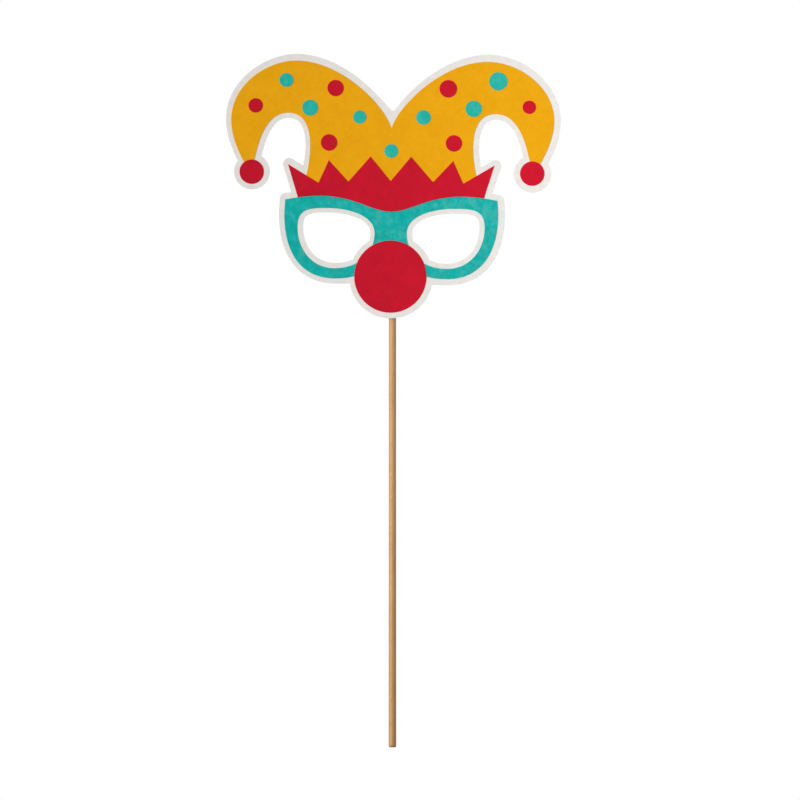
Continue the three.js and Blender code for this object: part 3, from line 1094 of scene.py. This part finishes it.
@dataclass
class Dowel:
    """The round wooden stick, with rounded ends and a surface that is a little uneven along the grain."""

    radius: float = 2.5 * MM
    length: float = 400 * MM
    end_rounding: float = 1.2 * MM
    end_inset: float = 0.5 * MM
    end_lean: float = 0.6
    sides: int = 64
    rows: int = 160
    unevenness: float = 0.06 * MM
    ridge: tuple[float, float] = (1.6 * MM, 40 * MM)
    swelling: float = 0.1 * MM
    swollen_length: float = 240 * MM

    def build(self, finishes: Finishes) -> list[Piece]:
        """Builds and dresses the stick.

        Args:
            finishes: The mask's finishes.

        Returns:
            The stick, alone in a list.
        """
        deselect_all()
        bpy.ops.mesh.primitive_cylinder_add(
            vertices=self.sides,
            radius=self.radius,
            depth=self.length,
            end_fill_type="NGON",
            location=(0, 0, self.length / 2),
        )
        piece = renamed("dowel")
        bpy.ops.object.transform_apply(location=True, rotation=True, scale=True)
        self.round_ends(piece)
        self.add_rows(piece)
        self.swell(piece)
        self.roughen(piece)
        self.dress(piece, finishes)
        shade(piece)
        return [enrol(piece, Slot.WOOD, "stick")]

    def round_ends(self, piece: Piece) -> None:
        """Rounds the stick's two end edges and rings its end faces.

        Args:
            piece: The stick.
        """
        with editing(piece) as mesh:
            ends = (0.0, self.length)
            edges = [
                edge for edge in mesh.edges
                if any(all(abs(v.co.z - end) < LEVEL_TOLERANCE for v in edge.verts) for end in ends)
            ]
            mark(mesh, edges, "EDGE")
            bpy.ops.mesh.bevel(offset=self.end_rounding, segments=6, affect="EDGES")
        with editing(piece) as mesh:
            mark(mesh, [face for face in mesh.faces if len(face.verts) > 4], "FACE")
            bpy.ops.mesh.inset(thickness=self.end_inset)

    def add_rows(self, piece: Piece) -> None:
        """Divides the stick's long sides into rows.

        Args:
            piece: The stick.
        """
        with editing(piece) as mesh:
            long_edges = [edge for edge in mesh.edges if edge.calc_length() > self.length / 2]
            mark(mesh, long_edges, "EDGE")
            bpy.ops.mesh.subdivide(number_cuts=self.rows)

    def swell(self, piece: Piece) -> None:
        """Thickens the stick a very little towards its lower end.

        Args:
            piece: The stick.
        """
        for vertex in piece.data.vertices:
            share = max(0.0, 1 - vertex.co.z / self.swollen_length)
            growth = 1 + share * self.swelling / self.radius
            vertex.co.x *= growth
            vertex.co.y *= growth

    def roughen(self, piece: Piece) -> None:
        """Presses a faint long-grained unevenness into the surface.

        Args:
            piece: The stick.
        """
        width, length = self.ridge
        lay = added("grain_lay", None)
        lay.scale = (width, width, length)
        bpy.context.view_layer.update()
        texture = bpy.data.textures.new("grain_ridges", "CLOUDS")
        texture.noise_scale = 1.0
        finish_with(
            piece,
            "DISPLACE",
            texture=texture,
            texture_coords="OBJECT",
            texture_coords_object=lay,
            strength=self.unevenness,
            mid_level=0.75,
        )
        bpy.data.objects.remove(lay)

    def dress(self, piece: Piece, finishes: Finishes) -> None:
        """Gives the faces that lean far enough to Z the end grain, and the others the long grain.

        Args:
            piece: The stick.
            finishes: The mask's finishes.
        """
        piece.data.materials.append(finishes.wood)
        piece.data.materials.append(finishes.end_grain)
        for face in piece.data.polygons:
            face.material_index = int(abs(face.normal.z) > self.end_lean)


@dataclass
class GlueBead:
    """Hot-melt glue along the back of the board, squeezed out on both sides of the stick."""

    width: float = 8 * MM
    depth: float = 1.9 * MM
    rows: int = 60
    seam: float = 0.1 * MM
    lumps: float = 0.5 * MM
    lump_size: float = 7 * MM

    def build(self, finishes: Finishes) -> list[Piece]:
        """Builds and dresses the glue.

        Args:
            finishes: The mask's finishes.

        Returns:
            The glue, alone in a list.
        """
        low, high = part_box("glue_bead")
        half = self.width / 2
        deselect_all()
        bpy.ops.mesh.primitive_uv_sphere_add(segments=32, ring_count=20, radius=half, location=(0, 0, 0))
        piece = renamed("glue")
        with editing(piece) as mesh:
            mark(mesh, [vertex for vertex in mesh.verts if vertex.co.z > self.seam], "VERT")
            bpy.ops.transform.translate(value=(0, 0, high.z - low.z - self.width))
        with editing(piece) as mesh:
            long_edges = [edge for edge in mesh.edges if edge.calc_length() > self.width]
            mark(mesh, long_edges, "EDGE")
            bpy.ops.mesh.subdivide(number_cuts=self.rows)
        squeeze = Matrix.Diagonal((1, self.depth / half, 1, 1))
        piece.data.transform(Matrix.Translation((0, BOARD_BACK, low.z + half)) @ squeeze)
        self.lump(piece)
        self.flatten(piece)
        piece.data.materials.append(finishes.glue)
        shade(piece, crease=60.0)
        return [enrol(piece, Slot.GLUE, "glue_bead")]

    def lump(self, piece: Piece) -> None:
        """Makes the bead swell and narrow along its length.

        Args:
            piece: The glue.
        """
        texture = bpy.data.textures.new("glue_lumps", "CLOUDS")
        texture.noise_scale = self.lump_size
        finish_with(
            piece, "DISPLACE", texture=texture, texture_coords="LOCAL", strength=self.lumps, mid_level=0.9
        )

    def flatten(self, piece: Piece) -> None:
        """Cuts the bead off flat where it sticks to the board.

        Args:
            piece: The glue.
        """
        with editing(piece):
            bpy.ops.mesh.select_all(action="SELECT")
            bpy.ops.mesh.bisect(
                plane_co=(0, BOARD_BACK, 0), plane_no=(0, 1, 0), use_fill=True, clear_inner=True
            )


@dataclass
class PaperPatch:
    """The strip of paper over the stick, pasted down beside it and a little wrinkled where it spans."""

    spacing: float = 1.4 * MM
    wrinkles: float = 0.3 * MM
    wrinkle_size: float = 6 * MM
    span: float = 14 * MM
    fade: float = 3.0

    def build(self, finishes: Finishes) -> list[Piece]:
        """Builds and dresses the patch.

        Args:
            finishes: The mask's finishes.

        Returns:
            The patch, alone in a list.
        """
        piece = copy_of("backing_patch", "patch")
        low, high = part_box("backing_patch")
        with editing(piece):
            cut_lines(2, low.z, high.z, self.spacing)
        self.wrinkle(piece)
        piece.data.materials.append(finishes.patch)
        shade(piece, crease=40.0)
        return [enrol(piece, Slot.PATCH, "backing_patch")]

    def wrinkle(self, piece: Piece) -> None:
        """Moves the spanning part of the patch in and out a little.

        Args:
            piece: The patch.
        """
        free = piece.vertex_groups.new(name="free")
        for vertex in piece.data.vertices:
            beside = abs(vertex.co.x) / (self.span / 2)
            free.add([vertex.index], max(0.0, min(1.0, self.fade * (1 - beside))), "REPLACE")
        texture = bpy.data.textures.new("patch_wrinkles", "CLOUDS")
        texture.noise_scale = self.wrinkle_size
        finish_with(
            piece,
            "DISPLACE",
            texture=texture,
            texture_coords="LOCAL",
            direction="Y",
            strength=self.wrinkles,
            mid_level=0.6,
            vertex_group="free",
        )
        piece.vertex_groups.clear()


# The studio


@dataclass(frozen=True)
class Sun:
    """A far, large lamp.

    Its strength is a share of full white on a surface that faces it. Its softness is how large it looks
    from the object, in degrees.
    """

    name: str
    strength: float
    toward: Triple
    softness: float

    def hang(self) -> None:
        """Hangs the lamp."""
        data = bpy.data.lights.new(self.name, "SUN")
        data.energy = self.strength * math.pi
        data.angle = math.radians(self.softness)
        lamp = added(self.name, data)
        toward = Vector(self.toward)
        lamp.rotation_euler = toward.to_track_quat("Z", "Y").to_euler()
        lamp.location = toward * 2


@dataclass
class Studio:
    """Floor, lights and camera, set up as in the photograph."""

    frame_width: float = 544 * MM
    frame_centre: tuple[float, float] = (5.13 * MM, 236.2 * MM)
    camera_distance: float = 2.0
    surround: float = 0.455
    suns: tuple[Sun, ...] = (
        Sun("key", strength=0.728, toward=(-0.749, -0.629, 0.208), softness=24.0),
        Sun("back", strength=0.55, toward=(-0.29, 0.8, 0.5), softness=30.0),
    )
    pool_power: float = 60.0
    pool_radius: float = 400 * MM
    pool_source: float = 120 * MM
    pool_aim: Triple = (330 * MM, 0.0, 380 * MM)
    pool_offset: Triple = (0.7, -2.0, 0.25)
    floor_radius: float = 12.0
    floor_depth: float = 0.2 * MM
    floor_patch: float = 400 * MM
    floor_tones: tuple[str, str] = ("B9B9B8", "BDBDBC")
    floor_seen: str = "FCFCFB"

    def build(self) -> None:
        """Sets up everything round the object."""
        self.lay_floor()
        self.light_surround()
        for sun in self.suns:
            sun.hang()
        self.hang_pool()
        self.place_camera()

    def lay_floor(self) -> None:
        """Lays a plain pale floor under the stick's end."""
        deselect_all()
        bpy.ops.mesh.primitive_circle_add(
            vertices=96, radius=self.floor_radius, fill_type="NGON", location=(0, 0, -self.floor_depth)
        )
        floor = renamed("floor")
        bench = Bench("pale_floor")
        bench.colour(bench.ramp(bench.noise((self.floor_patch,) * 3, detail=2.0), *self.floor_tones))
        bench.set(Roughness=0.95, Specular_IOR_Level=0.0)
        seen = bench.node("ShaderNodeBsdfDiffuse", {"Color": linear(self.floor_seen)})
        path = bench.node("ShaderNodeLightPath")
        choice = bench.node("ShaderNodeMixShader")
        bench.feed(choice.inputs[0], path.outputs["Is Camera Ray"])
        bench.feed(choice.inputs[1], bench.shader.outputs["BSDF"])
        bench.feed(choice.inputs[2], seen.outputs["BSDF"])
        output = next(node for node in bench.tree.nodes if node.type == "OUTPUT_MATERIAL")
        bench.feed(output.inputs["Surface"], choice.outputs["Shader"])
        floor.data.materials.append(bench.material)

    def light_surround(self) -> None:
        """Lights the object evenly from all round, and shows white behind it."""
        world = bpy.data.worlds.new("studio")
        bpy.context.scene.world = world
        world.use_nodes = True
        tree = world.node_tree
        light = next(node for node in tree.nodes if node.type == "BACKGROUND")
        light.inputs["Color"].default_value = linear(WHITE)
        light.inputs["Strength"].default_value = self.surround
        white = tree.nodes.new("ShaderNodeBackground")
        white.inputs["Color"].default_value = linear(WHITE)
        white.inputs["Strength"].default_value = 1.0
        path = tree.nodes.new("ShaderNodeLightPath")
        seen = path.outputs["Is Camera Ray"]
        for name in ("Is Glossy Ray", "Is Transmission Ray"):
            either = tree.nodes.new("ShaderNodeMath")
            either.operation = "MAXIMUM"
            tree.links.new(seen, either.inputs[0])
            tree.links.new(path.outputs[name], either.inputs[1])
            seen = either.outputs["Value"]
        choice = tree.nodes.new("ShaderNodeMixShader")
        tree.links.new(seen, choice.inputs[0])
        tree.links.new(light.outputs["Background"], choice.inputs[1])
        tree.links.new(white.outputs["Background"], choice.inputs[2])
        output = next(node for node in tree.nodes if node.type == "OUTPUT_WORLD")
        tree.links.new(choice.outputs["Shader"], output.inputs["Surface"])

    def hang_pool(self) -> None:
        """Hangs a soft-edged spotlight that brightens the mask towards its right-hand side."""
        data = bpy.data.lights.new("pool", "SPOT")
        data.energy = self.pool_power
        data.shadow_soft_size = self.pool_source
        data.spot_blend = 1.0
        offset = Vector(self.pool_offset)
        data.spot_size = 2 * math.atan(self.pool_radius / offset.length)
        lamp = added("pool", data)
        lamp.location = Vector(self.pool_aim) + offset
        lamp.rotation_euler = offset.to_track_quat("Z", "Y").to_euler()

    def place_camera(self) -> None:
        """Sets the camera straight in front of the mask."""
        data = bpy.data.cameras.new("camera")
        data.type = "ORTHO"
        data.ortho_scale = self.frame_width
        camera = added("camera", data)
        across, up = self.frame_centre
        camera.location = (across, -self.camera_distance, up)
        camera.rotation_euler = (math.pi / 2, 0, 0)
        bpy.context.scene.camera = camera
        bpy.context.scene.view_settings.view_transform = "Standard"


def main() -> None:
    """Builds the object's pieces in order, then the studio round it."""
    logging.basicConfig(level=logging.INFO, format="%(name)s: %(message)s")
    finishes = Finishes()
    for maker in (Board(), LowerSheets(), UpperSheets(), Dots(), Dowel(), GlueBead(), PaperPatch()):
        for piece in maker.build(finishes):
            log.info("%s: %s with %d faces", type(maker).__name__, piece.name, len(piece.data.polygons))
    Studio().build()


if __name__ == "__main__":
    main()
